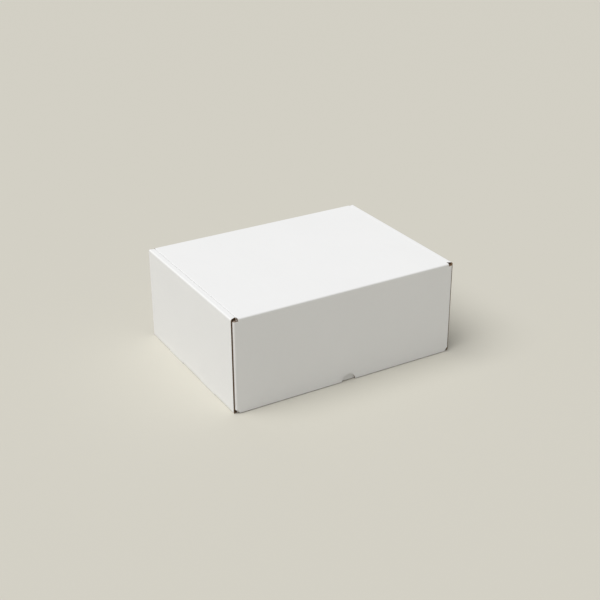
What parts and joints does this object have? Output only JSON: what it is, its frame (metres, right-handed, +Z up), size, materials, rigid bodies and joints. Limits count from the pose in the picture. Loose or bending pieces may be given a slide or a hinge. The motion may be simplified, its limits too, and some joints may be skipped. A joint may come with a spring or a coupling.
{
  "type": "corrugated mailer box",
  "caption": "Closed die-cut corrugated mailer with roll-over side walls, a lid on a rear crease, and an outside front flap with locking wings and a thumb notch.",
  "frame": {"origin": "centre of the bottom panel's underside, which is the middle of the closed box's footprint", "axes": "+X right along the longest side, +Y to the rear (the front flap faces -Y), +Z up"},
  "size_m": [0.3, 0.225, 0.12],
  "materials": {
    "white_board": "smooth matt white liner over brown-cored E-flute corrugated board"
  },
  "bodies": {
    "box": {"tray": "white_board", "lid": "white_board"},
    "front_flap": {"front_flap": "white_board", "left_wing": "white_board", "right_wing": "white_board"}
  },
  "joints": [
    {"name": "front_flap_hinge", "type": "hinge", "parent": "box", "child": "front_flap", "pos_m": [0, -0.11194, 0.11944], "axis": [-1, 0, 0], "range_deg": [0, 120]}
  ]
}
